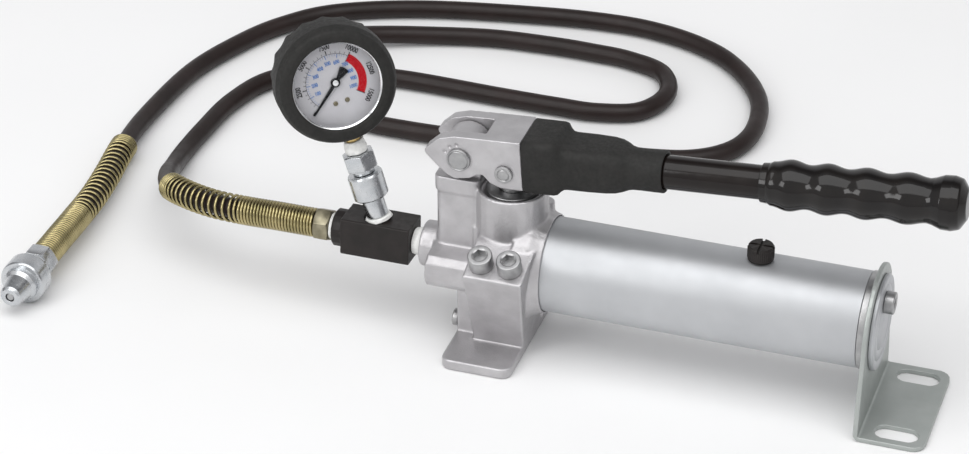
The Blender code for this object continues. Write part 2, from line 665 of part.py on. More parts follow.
def smooth_route(route, steps=12):
    """A dense Catmull-Rom curve through the route's points."""
    points = [Vector(point) for point in route]
    ends = [points[0] * 2 - points[1], *points, points[-1] * 2 - points[-2]]
    dense = []
    for before, start, end, after in zip(ends, ends[1:], ends[2:], ends[3:]):
        for k in range(steps):
            t = k / steps
            dense.append(0.5 * (
                2 * start + (end - before) * t
                + (2 * before - 5 * start + 4 * end - after) * t ** 2
                + (3 * start - before - 3 * end + after) * t ** 3
            ))
    return dense + [points[-1]]


def evenly_spaced(dense, count):
    """Points at equal distances along the curve."""
    lengths = [0.0]
    for here, after in zip(dense, dense[1:]):
        lengths.append(lengths[-1] + (after - here).length)
    spaced = []
    k = 0
    for i in range(count):
        wanted = lengths[-1] * i / (count - 1)
        while k < len(dense) - 2 and lengths[k + 1] < wanted:
            k += 1
        share = (wanted - lengths[k]) / (lengths[k + 1] - lengths[k])
        spaced.append(dense[k].lerp(dense[k + 1], share))
    return spaced


def sleeve(name, centres):
    """A spring guard's outer shape: a tube round part of the hose, open at both ends."""
    sides = 12
    tangents = []
    for i in range(len(centres)):
        before, after = centres[max(i - 1, 0)], centres[min(i + 1, len(centres) - 1)]
        tangents.append((after - before).normalized())
    side = tangents[0].orthogonal().normalized()
    outer, inner = [], []
    for centre, tangent in zip(centres, tangents):
        side = (side - tangent * side.dot(tangent)).normalized()
        other = tangent.cross(side)
        angles = [math.tau * k / sides for k in range(sides)]
        spokes = [side * math.cos(a) + other * math.sin(a) for a in angles]
        outer.append([centre + spoke * GUARD_R for spoke in spokes])
        inner.append([centre + spoke * GUARD_BORE_R for spoke in spokes])
    loft(name, "yellow_zinc", outer + inner[::-1], Matrix())


def hose():
    centres = evenly_spaced(smooth_route(HOSE_ROUTE), HOSE_POINTS)
    curve = bpy.data.curves.new("hose_tube", "CURVE")
    curve.dimensions = "3D"
    curve.bevel_depth = HOSE_R * MM
    curve.bevel_resolution = 2
    curve.use_fill_caps = True
    spline = curve.splines.new("POLY")
    spline.points.add(len(centres) - 1)
    for point, centre in zip(spline.points, centres):
        point.co = (*(centre * MM), 1)
    add_object("hose_tube", curve, Matrix(), "hose")
    sleeve("spring_guard_pump", centres[:PUMP_GUARD_POINTS + 1])
    sleeve("spring_guard_far", centres[-FAR_GUARD_POINTS - 1:])


def hose_end():
    frame = facing((COUPLER_X, 0, COUPLER_Z), (0, -1, 0))
    start = -HOSE_END_Y + GAP
    hex_end = prism("hose_end_hex", "zinc", polygon(6, 20), start, 43, "XY", frame)
    cut(hex_end, rod("cut_hose_end", None, 2.5, 25, 45, frame, 10))
    body = [
        (0, 60), (3, 60), (3, 81), (6, 81), (7.3, 79.5), (9.5, 68), (11.5, 66), (11.5, 63), (14.2, 63),
        (15, 62), (15, 50), (14.2, 49), (10.5, 49), (10.5, 43.3), (0, 43.3),
    ]
    lathe("coupler_body", "zinc", body, frame, 22)
    rod("coupler_poppet", "steel", 2.6, 64, 80.5, frame, 12)


pump_head()
plunger_set()
valves()
release_valve()
reservoir()
end_fittings()
lever_fork()
lever_pins()
lever_handle()
outlet_fittings()
gauge_stem()
gauge()
hose()
hose_end()
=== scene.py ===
"""Looks of the hydraulic hand pump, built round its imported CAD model.

Every size is in millimetres in the CAD's frame, and MM turns it into Blender's metres.
"""

import json
import math

import bmesh
import bpy
from mathutils import Matrix, Vector


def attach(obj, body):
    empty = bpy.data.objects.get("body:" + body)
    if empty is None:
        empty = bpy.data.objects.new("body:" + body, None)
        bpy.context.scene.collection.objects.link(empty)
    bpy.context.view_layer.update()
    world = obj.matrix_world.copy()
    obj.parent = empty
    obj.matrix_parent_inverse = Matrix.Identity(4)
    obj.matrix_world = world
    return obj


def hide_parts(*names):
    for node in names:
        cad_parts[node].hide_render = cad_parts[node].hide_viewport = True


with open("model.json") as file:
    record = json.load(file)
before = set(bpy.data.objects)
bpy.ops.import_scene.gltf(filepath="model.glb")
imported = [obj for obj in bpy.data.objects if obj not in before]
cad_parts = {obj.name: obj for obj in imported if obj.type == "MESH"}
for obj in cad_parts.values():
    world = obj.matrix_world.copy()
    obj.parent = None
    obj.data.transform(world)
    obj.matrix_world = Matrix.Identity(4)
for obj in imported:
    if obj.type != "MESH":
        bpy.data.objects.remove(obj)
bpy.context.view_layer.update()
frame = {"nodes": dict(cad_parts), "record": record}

MM = 0.001
GAP = 0.3  # the clearance that the CAD leaves between pieces that touch
NODES = frame["nodes"]

# The camera stands where the photograph was taken from. Its place is in metres.
CAMERA_PLACE = (0.5305, -1.6527, 1.1677)
CAMERA_TURN = (math.radians(57.962), 0, math.radians(18.363))
CAMERA_LENS = 122.45
FILM_WIDTH = 36

# The world's grey from straight behind and below (0) to straight in front and above (1).
STUDIO_FRONT = (0, -0.8, 0.6)
STUDIO_GREYS = [(0.0, 0.78), (0.36, 0.74), (0.50, 0.20), (0.60, 0.24), (0.74, 0.72), (1.0, 0.85)]
STUDIO_BLUE = 1.02
# Each lamp: its place, the point it looks at and its sides, in metres, then its watts.
LAMPS = {
    "overhead": ((0.1, -0.6, 2.2), (0, 0, 0), (3.2, 1.8), 34),
    "front": ((-1.2, -1.9, 1.3), (0, 0, 0.05), (0.9, 0.9), 12),
}
FLOOR_HALF = 9000
FLOOR_DROP = 0.2

TUBE_Z = 60
TUBE_R = 30
TUBE_END = 226
TIE_ROD_Z = 75
FILLER_X = 158.5
PLATE_X = 230.6
PLATE_FACE = 233.6

FULCRUM = (-28.9, 0, 134.8)
PLUNGER_PIN = (0, 0, 129.8)
FORK_HALF = 17.3
HANDLE_TILT = math.radians(3.78)
HANDLE_START = (0, 0, 133.6)
SHAFT_R = 10.5
# Where the grip is thinnest along the shaft, and how it swells between those places.
GRIP_VALLEYS = (163.8, 185.9, 208.9, 233.2, 258.6)
GRIP_STEPS = 14
GRIP_VALLEY_R = 13.5
GRIP_SWELL = 2.2
STAKE_ANGLES = (100, 128, 156)
STAKE_CIRCLE_R = 9.8
LEDGE_TILT = math.radians(22)
VALVE_SCREWS = {"valve_screw_left": (-6.9, -39.6, 76.4), "valve_screw_right": (11.5, -39.6, 76.4)}

OUTLET_Z = 59
GAUGE_PORT = Vector((-87.8, 0, 70))
STEM_AXIS = Vector((-0.317, 0.063, 0.946)).normalized()
STEM_TO_CENTRE = 97.5
DIAL_LOOKS = Vector((0.50, -0.84, 0.23))
# The scale runs from -SCALE_END to SCALE_END degrees, and BAR_STEP degrees are 100 bar.
SCALE_END = 130
TOP_PRESSURE = 15000
RED_PRESSURE = 10000
BAR_STEP = 25.14
PRINT_LOW = 6.33
PRINT_HIGH = 6.39
PRINT_SCALE = 0.96
DIGIT_WIDTH = 0.8
DIGIT_HEIGHT = 1.05

HOSE_R = 6.5
COIL_R = 8.5
WIRE_R = 1.0
WIRE_STEPS = 20  # points in each turn of a spring guard
CLOSED_PITCH = 2 * WIRE_R + 0.12
FAR_SPRING = 158
COUPLER_X = -310
COUPLER_Z = 15.3
HOSE_END_Y = -31
HOSE_EXIT = (-130.3, 0, 59)
HOSE_LENGTH = 2203
HOSE_CENTRES = 900

# The hose's centre line, from the tee to the coupler.
HOSE_ROUTE = [
    HOSE_EXIT, (-155, 0, 59), (-181, 1, 58), (-205, 7, 55), (-229, 20, 50),
    (-250, 41, 41), (-265, 72, 28), (-276, 105, 13), (-281, 135, 7), (-280, 170, 6.8),
    (-276, 211, 6.8), (-261, 249, 6.8), (-225, 272, 6.8), (-172, 279, 6.8), (-98, 277, 6.8),
    (-55, 276.5, 6.8), (-27, 277.5, 6.8), (1.5, 288.5, 6.8), (13, 317, 6.8), (1.5, 345.5, 6.8),
    (-27, 357, 6.8), (-55, 359.5, 6.8), (-85, 360, 6.8), (-130, 357, 6.8), (-176, 345, 7.5),
    (-210, 328, 11), (-234, 305, 17), (-245, 280, 20.6), (-243, 258, 20.8), (-232, 237, 17),
    (-210, 222, 11), (-180, 214, 7), (-145, 212, 6.8), (-100, 214, 6.8), (-40, 220, 6.8),
    (15, 227, 6.8), (52, 236, 6.8), (75, 255, 6.8), (84, 283, 6.8), (80, 320, 6.8),
    (66, 350, 6.8), (44, 376, 6.8), (20, 392, 6.8), (-11, 403, 6.8), (-47, 407, 6.8),
    (-103, 402, 6.8), (-191, 384, 6.8), (-252, 358, 6.8), (-284, 326, 6.8), (-304, 289, 6.8),
    (-320, 239, 6.8), (-325, 168, 7.5), (-321, 120, 9.8), (-316, 85, 10.8), (-312, 52, 12.5),
    (-310.3, 20, 14.5), (-310, -5, 15.2), (COUPLER_X, HOSE_END_Y, COUPLER_Z),
]

# The record's material slots and the CAD nodes that wear them.
SLOT_NODES = {
    "cast": ["pump_head", "lever_fork"],
    "satin": ["reservoir_tube", "end_disc"],
    "bracket": ["rear_bracket"],
    "steel": [
        "gland_nut", "plunger", "suction_ball", "delivery_ball", "delivery_spring", "relief_ball",
        "relief_spring", "relief_screw", "valve_screw_left", "valve_screw_right", "drain_plug",
        "release_ball", "release_stem", "suction_tube", "tie_rod", "end_cap", "end_cap_screw",
        "fulcrum_pin", "plunger_pin", "gauge_case", "coupler_poppet",
    ],
    "zinc": [
        "outlet_nipple", "hose_hex_fitting", "gauge_adapter", "gauge_collar", "gauge_hex",
        "gauge_bezel", "hose_end_hex", "coupler_body",
    ],
    "yellow_zinc": ["spring_guard_pump", "spring_guard_far"],
    "brass": ["suction_filter", "gauge_stem", "gauge_movement", "bourdon_tube"],
    "black_metal": ["filler_cap", "release_knob", "gauge_tee"],
    "tape": ["outlet_seal_ring", "hose_seal_ring", "port_seal_ring", "gauge_tape"],
    "rubber": [
        "plunger_seal", "front_tube_seal", "rear_tube_seal", "filler_seal", "lever_boot",
        "gauge_boot",
    ],
    "hose": ["hose_tube"],
    "black_enamel": ["handle_shaft", "gauge_needle"],
    "grip": ["handle_grip"],
    "dial": ["gauge_dial"],
    "glass": ["gauge_lens"],
}
SLOT_OF = {node: slot for slot, nodes in SLOT_NODES.items() for node in nodes}
BODIES = frame["record"]["behaviour"]["bodies"]
BODY_OF = {node: body for body, nodes in BODIES.items() for node in nodes}

# --- Materials -----------------------------------------------------------------------------
# dark and light are the two colours of a patchy base, and rough is the range of its roughness.
# patch and each grain's first number are noise scales per metre, and a grain's second number is
# its depth in metres. edge is the colour of the corners, part wear and part painted highlight,
# and gleam is the specular level.

LOOKS = {
    "cast": dict(
        dark=(0.44, 0.43, 0.44), light=(0.52, 0.51, 0.52), patch=70, rough=(0.36, 0.50),
        metallic=0.80, grain=((950, 0.00022), (320, 0.00012)), edge=(0.70, 0.70, 0.72),
    ),
    "satin": dict(
        dark=(0.47, 0.48, 0.495), light=(0.51, 0.52, 0.535), patch=35, rough=(0.44, 0.50),
        metallic=0.75, grain=((2400, 0.00003),),
    ),
    "bracket": dict(
        dark=(0.36, 0.385, 0.37), light=(0.41, 0.435, 0.42), patch=50, rough=(0.36, 0.46),
        metallic=0.55, grain=((900, 0.00006),), edge=(0.56, 0.58, 0.57),
    ),
    "steel": dict(
        dark=(0.34, 0.34, 0.345), light=(0.44, 0.44, 0.44), patch=180, rough=(0.32, 0.46),
        metallic=1.0, grain=((1500, 0.00004),),
    ),
    "zinc": dict(
        dark=(0.50, 0.52, 0.54), light=(0.62, 0.63, 0.64), patch=110, rough=(0.20, 0.30),
        metallic=1.0, grain=((1100, 0.000012),),
    ),
    "yellow_zinc": dict(
        dark=(0.30, 0.26, 0.13), light=(0.47, 0.40, 0.21), patch=70, rough=(0.18, 0.26),
        metallic=1.0, grain=((1200, 0.000008),),
    ),
    "olive": dict(
        dark=(0.17, 0.15, 0.10), light=(0.34, 0.31, 0.22), patch=110, rough=(0.28, 0.40),
        metallic=0.9, grain=((1200, 0.00002),),
    ),
    "brass": dict(
        dark=(0.52, 0.36, 0.14), light=(0.72, 0.54, 0.24), patch=150, rough=(0.25, 0.40),
        metallic=1.0, grain=((1200, 0.00003),),
    ),
    "black_metal": dict(
        dark=(0.010, 0.008, 0.007), light=(0.018, 0.014, 0.013), patch=90, rough=(0.38, 0.52),
        metallic=0.0, grain=((1300, 0.00005),), edge=(0.07, 0.065, 0.06), gleam=0.3,
    ),
    "tape": dict(
        dark=(0.74, 0.74, 0.72), light=(0.88, 0.88, 0.86), patch=300, rough=(0.50, 0.65),
        metallic=0.0, grain=((700, 0.00022),),
    ),
    "rubber": dict(
        dark=(0.013, 0.013, 0.012), light=(0.019, 0.018, 0.017), patch=160, rough=(0.56, 0.72),
        metallic=0.0, grain=((1700, 0.00010), (240, 0.00006)), gleam=0.3,
    ),
    "hose": dict(
        dark=(0.012, 0.007, 0.006), light=(0.019, 0.011, 0.010), patch=45, rough=(0.38, 0.48),
        metallic=0.0, grain=((800, 0.00007),), gleam=0.3,
    ),
    "black_enamel": dict(
        dark=(0.004, 0.002, 0.002), light=(0.009, 0.006, 0.005), patch=60, rough=(0.10, 0.18),
        metallic=0.0, grain=((260, 0.00002),), gleam=0.3,
    ),
    "grip": dict(
        dark=(0.004, 0.003, 0.003), light=(0.009, 0.007, 0.006), patch=70, rough=(0.07, 0.13),
        metallic=0.0, grain=((380, 0.00002),), gleam=0.35,
    ),
    "dial": dict(
        dark=(0.50, 0.495, 0.52), light=(0.55, 0.545, 0.57), patch=90, rough=(0.50, 0.60),
        metallic=0.0, grain=((2200, 0.00002),), gleam=0.3,
    ),
    "ink_black": dict(
        dark=(0.008, 0.008, 0.009), light=(0.018, 0.018, 0.020), patch=500, rough=(0.40, 0.50),
        metallic=0.0, grain=((2500, 0.00001),), gleam=0.1,
    ),
    "ink_blue": dict(
        dark=(0.03, 0.13, 0.42), light=(0.06, 0.19, 0.50), patch=500, rough=(0.40, 0.50),
        metallic=0.0, grain=((2500, 0.00001),), gleam=0.1,
    ),
    "ink_red": dict(
        dark=(0.42, 0.006, 0.012), light=(0.50, 0.010, 0.018), patch=300, rough=(0.36, 0.46),
        metallic=0.0, grain=((2500, 0.00001),), gleam=0.1,
    ),
    "chrome": dict(
        dark=(0.72, 0.73, 0.74), light=(0.88, 0.88, 0.89), patch=120, rough=(0.07, 0.14),
        metallic=1.0, grain=((900, 0.00001),),
    ),
    "floor": dict(
        dark=(0.84, 0.84, 0.84), light=(0.87, 0.87, 0.87), patch=3, rough=(0.55, 0.62),
        metallic=0.0, grain=((160, 0.00006),),
    ),
}


def noise_value(tree, coords, scale, detail=5):
    node = tree.nodes.new("ShaderNodeTexNoise")
    node.inputs["Scale"].default_value = scale
    node.inputs["Detail"].default_value = detail
    tree.links.new(coords, node.inputs["Vector"])
    return node.outputs["Fac"]


def remapped(tree, value, low, high, start=0.32, end=0.68):
    node = tree.nodes.new("ShaderNodeMapRange")
    for name, number in (("From Min", start), ("From Max", end), ("To Min", low), ("To Max", high)):
        node.inputs[name].default_value = number
    tree.links.new(value, node.inputs["Value"])
    return node.outputs["Result"]


def mixed(tree, factor, first, second):
    """A colour between first and second, each a colour or a socket."""
    node = tree.nodes.new("ShaderNodeMix")
    node.data_type = "RGBA"
    for name, colour in (("A", first), ("B", second)):
        socket = next(s for s in node.inputs if s.name == name and s.type == "RGBA")
        if isinstance(colour, tuple):
            socket.default_value = (*colour, 1)
        else:
            tree.links.new(colour, socket)
    tree.links.new(factor, node.inputs["Factor"])
    return next(s for s in node.outputs if s.type == "RGBA")


def finish_of(name, dark, light, patch, rough, metallic, grain, edge=None, gleam=0.5):
    """A procedural finish: patchy colour and roughness, a fine relief and maybe corners lightened
    by wear and a painted highlight.
    """
    material = bpy.data.materials.new(name)
    material.use_nodes = True
    tree = material.node_tree
    shader = tree.nodes["Principled BSDF"]
    coords = tree.nodes.new("ShaderNodeTexCoord").outputs["Object"]
    shade = remapped(tree, noise_value(tree, coords, patch), 0, 1)
    colour = mixed(tree, shade, dark, light)
    if edge:
        # Painted highlight, with some wear: the sharper a corner, the more its colour goes towards
        # edge.
        corners = tree.nodes.new("ShaderNodeNewGeometry").outputs["Pointiness"]
        wear_and_highlight = remapped(tree, corners, 0, 0.75, 0.52, 0.62)
        colour = mixed(tree, wear_and_highlight, colour, edge)
    tree.links.new(colour, shader.inputs["Base Color"])
    gloss = remapped(tree, noise_value(tree, coords, patch * 3), *rough)
    tree.links.new(gloss, shader.inputs["Roughness"])
    shader.inputs["Metallic"].default_value = metallic
    shader.inputs["Specular IOR Level"].default_value = gleam
    relief = None
    for scale, depth in grain:
        bump = tree.nodes.new("ShaderNodeBump")
        bump.inputs["Distance"].default_value = depth
        bump.inputs["Strength"].default_value = 0.8
        tree.links.new(noise_value(tree, coords, scale, 3), bump.inputs["Height"])
        if relief:
            tree.links.new(relief, bump.inputs["Normal"])
        relief = bump.outputs["Normal"]
    tree.links.new(relief, shader.inputs["Normal"])
    return material


def glass_finish():
    """A clear pane with an unevenly smooth surface."""
    material = bpy.data.materials.new("glass")
    material.use_nodes = True
    tree = material.node_tree
    shader = tree.nodes["Principled BSDF"]
    coords = tree.nodes.new("ShaderNodeTexCoord").outputs["Object"]
    gloss = remapped(tree, noise_value(tree, coords, 120), 0.02, 0.08)
    tree.links.new(gloss, shader.inputs["Roughness"])
    shader.inputs["Base Color"].default_value = (0.95, 0.97, 0.97, 1)
    shader.inputs["Transmission Weight"].default_value = 1.0
    shader.inputs["Alpha"].default_value = 0.08
    return material


MATERIALS = {name: finish_of(name, **look) for name, look in LOOKS.items()}
MATERIALS["glass"] = glass_finish()

# --- Making pieces -------------------------------------------------------------------------


def dress(piece, look):
    piece.data.materials.clear()
    piece.data.materials.append(MATERIALS[look])


def settle(piece, node):
    """Puts the piece's place into its mesh and lets it ride on the node's body."""
    piece.data.transform(piece.matrix_world)
    piece.matrix_world = Matrix()
    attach(piece, BODY_OF[node])


def stands_for(piece, node, slot=None):
    """The piece is shown in place of the CAD node, on its body and with its slot's finish."""
    settle(piece, node)
    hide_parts(node)
    dress(piece, slot or SLOT_OF[node])
    return piece


def adds_to(piece, node, look):
    """The piece is a detail on a CAD node's body, with a look of its own."""
    settle(piece, node)
    dress(piece, look)
    return piece


def add_object(name, data, place):
    obj = bpy.data.objects.new(name, data)
    bpy.context.scene.collection.objects.link(obj)
    obj.matrix_world = place
    return obj


def add_mesh(name, bm, place, sharp=40):
    bmesh.ops.recalc_face_normals(bm, faces=bm.faces)
    mesh = bpy.data.meshes.new(name)
    bm.to_mesh(mesh)
    bm.free()
    mesh.shade_smooth()
    mesh.set_sharp_from_angle(angle=math.radians(sharp))
    return add_object(name, mesh, place)


def facing(base, axis):
    """The frame at base whose +Z lies along axis."""
    turn = Vector((0, 0, 1)).rotation_difference(Vector(axis))
    return Matrix.Translation(Vector(base) * MM) @ turn.to_matrix().to_4x4()


def along_x(x, y, z):
    return facing((x, y, z), (1, 0, 0))


def towards_outlet(y, z):
    return facing((0, y, z), (-1, 0, 0))


def rounded(corners, steps=6):
    """The outline through corners of (a, b, radius), each rounded by an arc."""
    outline = []
    for i, (a, b, radius) in enumerate(corners):
        here = Vector((a, b))
        if radius == 0:
            outline.append((a, b))
            continue
        before = (Vector(corners[i - 1][:2]) - here).normalized()
        after = (Vector(corners[(i + 1) % len(corners)][:2]) - here).normalized()
        half = before.angle(after) / 2
        centre = here + (before + after).normalized() * (radius / math.sin(half))
        first = here + before * (radius / math.tan(half)) - centre
        last = here + after * (radius / math.tan(half)) - centre
        start = math.atan2(first.y, first.x)
        turn = math.remainder(math.atan2(last.y, last.x) - start, math.tau)
        for k in range(steps + 1):
            angle = start + turn * k / steps
            across, up = radius * math.cos(angle), radius * math.sin(angle)
            outline.append((centre.x + across, centre.y + up))
    return outline


def lathe(name, corners, place, steps=96, sharp=40):
    """A turned piece: corners holds (radius, height, rounding) about the frame's +Z."""
    profile = rounded(corners)
    bm = bmesh.new()
    verts = [bm.verts.new((radius * MM, 0, height * MM)) for radius, height in profile]
    edges = [bm.edges.new(pair) for pair in zip(verts, verts[1:])]
    if profile[0][0] > 0:
        edges.append(bm.edges.new((verts[-1], verts[0])))
    bmesh.ops.spin(
        bm, geom=verts + edges, cent=(0, 0, 0), axis=(0, 0, 1), dvec=(0, 0, 0),
        angle=math.tau, steps=steps, use_merge=True,
    )
    bmesh.ops.remove_doubles(bm, verts=bm.verts, dist=1e-7)
    return add_mesh(name, bm, place, sharp)


def ring(name, outer, inner, low, high, place, edge=0.3, steps=96):
    corners = [(inner, low, edge), (outer, low, edge), (outer, high, edge), (inner, high, edge)]
    return lathe(name, corners, place, steps)


PLANES = {
    "XY": lambda a, b, height: Vector((a, b, height)),
    "XZ": lambda a, b, height: Vector((a, height, b)),
    "YZ": lambda a, b, height: Vector((height, a, b)),
}


def prism(name, outline, low, high, plane, place=Matrix()):
    spot = PLANES[plane]
    bm = bmesh.new()
    face = bm.faces.new([bm.verts.new(spot(a, b, low) * MM) for a, b in outline])
    grown = bmesh.ops.extrude_face_region(bm, geom=[face])["geom"]
    moved = [v for v in grown if isinstance(v, bmesh.types.BMVert)]
    bmesh.ops.translate(bm, verts=moved, vec=spot(0, 0, high - low) * MM)
    return add_mesh(name, bm, place)


def polygon(sides, across_flats):
    radius = across_flats / 2 / math.cos(math.pi / sides)
    angles = [math.tau * i / sides for i in range(sides)]
    return [(radius * math.cos(a), radius * math.sin(a)) for a in angles]


def bake(obj, sharp=40):
    """Replaces the object's mesh by what its modifiers make of it."""
    graph = bpy.context.evaluated_depsgraph_get()
    mesh = bpy.data.meshes.new_from_object(obj.evaluated_get(graph))
    obj.modifiers.clear()
    obj.data = mesh
    mesh.shade_smooth()
    mesh.set_sharp_from_angle(angle=math.radians(sharp))
    return obj


def carve(obj, operation, *tools):
    """Joins the tools to the object or cuts them from it, and removes them."""
    for tool in tools:
        modifier = obj.modifiers.new(tool.name, "BOOLEAN")
        modifier.operation = operation
        modifier.object = tool
    bake(obj)
    for tool in tools:
        bpy.data.objects.remove(tool, do_unlink=True)
    return obj


def soften(obj, width):
    """Rounds the sharp edges."""
    modifier = obj.modifiers.new("edges", "BEVEL")
    modifier.width = width * MM
    modifier.segments = 2
    modifier.limit_method = "ANGLE"
    modifier.angle_limit = math.radians(32)
    return bake(obj, 50)


def ripple(obj, count, depth, low, high, least, sharpness):
    """Presses flutes into a turned piece's rim, between two heights and outside a radius."""
    for vertex in obj.data.vertices:
        radius = math.hypot(vertex.co.x, vertex.co.y)
        if radius < least * MM or not low * MM <= vertex.co.z <= high * MM:
            continue
        angle = math.atan2(vertex.co.y, vertex.co.x)
        press = (0.5 - 0.5 * math.cos(count * angle)) ** sharpness
        scale = 1 - depth * MM * press / radius
        vertex.co.x *= scale
        vertex.co.y *= scale
    return obj


def cast_copy(node, voxel, rounds, extra=(), cutters=()):
    """A fine copy of a CAD node with the soft edges and fillets of a casting.

    cutters take material away first, and extra are closed shapes that then grow out of it.
    """
    bm = bmesh.new()
    bm.from_mesh(NODES[node].data)
    bmesh.ops.remove_doubles(bm, verts=bm.verts, dist=2e-6)
    mesh = bpy.data.meshes.new(node + "_fine")
    bm.to_mesh(mesh)
    bm.free()
    obj = add_object(node + "_fine", mesh, Matrix())
    if cutters:
        carve(obj, "DIFFERENCE", *cutters)
    bm = bmesh.new()
    bm.from_mesh(obj.data)
    for shape in extra:
        shape.data.transform(shape.matrix_world)
        bm.from_mesh(shape.data)
        bpy.data.objects.remove(shape, do_unlink=True)
    bm.to_mesh(obj.data)
    bm.free()
    remesh = obj.modifiers.new("skin", "REMESH")
    remesh.mode = "VOXEL"
    remesh.voxel_size = voxel * MM
    relax = obj.modifiers.new("relax", "SMOOTH")
    relax.factor = 0.5
    relax.iterations = rounds
    return bake(obj, 180)


def hex_piece(name, across, low, high, place, bore=0.0):
    """A hexagon whose corners are turned down at both ends."""
    corner = across / math.sqrt(3)
    slope = corner - across / 2
    blank = [
        (0, low, 0), (across / 2 - 0.3, low, 0), (corner + 0.3, low + slope * 0.6, 0),
        (corner + 0.3, high - slope * 0.6, 0), (across / 2 - 0.3, high, 0), (0, high, 0),
    ]
    piece = prism(name, polygon(6, across), low - 1, high + 1, "XY", place)
    carve(piece, "INTERSECT", lathe(name + "_blank", blank, place, 96))
    if bore:
        hole = [(0, low - 2, 0), (bore, low - 2, 0), (bore, high + 2, 0), (0, high + 2, 0)]
        carve(piece, "DIFFERENCE", lathe(name + "_bore", hole, place, 48))
    return soften(piece, 0.25)


# --- Camera, light and floor ---------------------------------------------------------------


def set_camera():
    data = bpy.data.cameras.new("camera")
    data.sensor_width = FILM_WIDTH
    data.lens = CAMERA_LENS
    data.clip_start = 0.05
    data.clip_end = 30
    camera = bpy.data.objects.new("camera", data)
    bpy.context.scene.collection.objects.link(camera)
    camera.location = CAMERA_PLACE
    camera.rotation_euler = CAMERA_TURN
    bpy.context.scene.camera = camera


def add_light(name, place, aim, size, power):
    data = bpy.data.lights.new(name, "AREA")
    data.shape = "RECTANGLE"
    data.size, data.size_y = size
    data.energy = power
    light = bpy.data.objects.new(name, data)
    bpy.context.scene.collection.objects.link(light)
    light.location = place
    light.rotation_mode = "QUATERNION"
    light.rotation_quaternion = (Vector(aim) - Vector(place)).to_track_quat("-Z", "Y")


def set_light():
    """A pale studio, with a dark band across its world that gives metal some contrast."""
    world = bpy.data.worlds.new("studio")
    bpy.context.scene.world = world
    world.use_nodes = True
    tree = world.node_tree
    coords = tree.nodes.new("ShaderNodeTexCoord").outputs["Generated"]
    facing_front = tree.nodes.new("ShaderNodeVectorMath")
    facing_front.operation = "DOT_PRODUCT"
    facing_front.inputs[1].default_value = STUDIO_FRONT
    tree.links.new(coords, facing_front.inputs[0])
    share = remapped(tree, facing_front.outputs["Value"], 0, 1, -1, 1)
    ramp = tree.nodes.new("ShaderNodeValToRGB")
    stops = ramp.color_ramp.elements
    for place, grey in STUDIO_GREYS[1:-1]:
        stops.new(place).color = (grey, grey, grey * STUDIO_BLUE, 1)
    for stop, (_, grey) in ((stops[0], STUDIO_GREYS[0]), (stops[-1], STUDIO_GREYS[-1])):
        stop.color = (grey, grey, grey, 1)
    tree.links.new(share, ramp.inputs["Fac"])
    tree.links.new(ramp.outputs["Color"], tree.nodes["Background"].inputs["Color"])
    for name, lamp in LAMPS.items():
        add_light(name, *lamp)
    bpy.context.scene.view_settings.view_transform = "Standard"


def lay_floor():
    bm = bmesh.new()
    corners = [(-1, -1), (1, -1), (1, 1), (-1, 1)]
    bm.faces.new([
        bm.verts.new(Vector((x * FLOOR_HALF, y * FLOOR_HALF, -FLOOR_DROP)) * MM) for x, y in corners
    ])
    floor = add_mesh("floor", bm, Matrix())
    dress(floor, "floor")


# --- Hose ----------------------------------------------------------------------------------


def smooth_route(route, steps=12):
    """A dense Catmull-Rom curve through the route's points."""
    points = [Vector(point) for point in route]
    ends = [points[0] * 2 - points[1], *points, points[-1] * 2 - points[-2]]
    dense = []
    for before, start, end, after in zip(ends, ends[1:], ends[2:], ends[3:]):
        for k in range(steps):
            t = k / steps
            dense.append(0.5 * (
                2 * start + (end - before) * t
                + (2 * before - 5 * start + 4 * end - after) * t ** 2
                + (3 * start - before - 3 * end + after) * t ** 3
            ))
    return dense + [points[-1]]


def evenly_spaced(dense, count):
    """Points at equal distances along the curve."""
    lengths = [0.0]
    for here, after in zip(dense, dense[1:]):
        lengths.append(lengths[-1] + (after - here).length)
    spaced = []
    k = 0
    for i in range(count):
        wanted = lengths[-1] * i / (count - 1)
        while k < len(dense) - 2 and lengths[k + 1] < wanted:
            k += 1
        share = (wanted - lengths[k]) / (lengths[k + 1] - lengths[k])
        spaced.append(dense[k].lerp(dense[k + 1], share))
    return spaced


def tube_along(name, points, radius, resolution):
    """A round tube through the points, as a mesh."""
    curve = bpy.data.curves.new(name, "CURVE")
    curve.dimensions = "3D"
    curve.bevel_depth = radius * MM
    curve.bevel_resolution = resolution
    curve.use_fill_caps = True
    spline = curve.splines.new("POLY")
    spline.points.add(len(points) - 1)
    for point, centre in zip(spline.points, points):
        point.co = (*(centre * MM), 1)
    spline.use_smooth = True
    holder = add_object(name + "_line", curve, Matrix())
    graph = bpy.context.evaluated_depsgraph_get()
    mesh = bpy.data.meshes.new_from_object(holder.evaluated_get(graph))
    bpy.data.objects.remove(holder, do_unlink=True)
    mesh.shade_smooth()
    return add_object(name, mesh, Matrix())


def sides_along(points):
    """A side direction for each point that turns as little as it can from one to the next."""
    side = (points[1] - points[0]).orthogonal().normalized()
    sides = []
    for i in range(len(points)):
        tangent = (points[min(i + 1, len(points) - 1)] - points[max(i - 1, 0)]).normalized()
        side = (side - tangent * side.dot(tangent)).normalized()
        sides.append((side, tangent.cross(side)))
    return sides


def coil(name, route, start, stretches):
    """A wire wound on the route, which has a point every millimetre.

    Each stretch is (length, pitch), one after the other from start millimetres along.
    """
    sides = sides_along(route)
    wire = []
    place, angle = start, 0.0
    for length, pitch in stretches:
        steps = round(length / pitch * WIRE_STEPS)
        for _ in range(steps):
            k = min(int(place), len(route) - 2)
            centre = route[k].lerp(route[k + 1], place - k)
            side, other = sides[k]
            wire.append(centre + (side * math.cos(angle) + other * math.sin(angle)) * COIL_R)
            angle += math.tau / WIRE_STEPS
            place += length / steps
    return tube_along(name, wire, WIRE_R, 3)


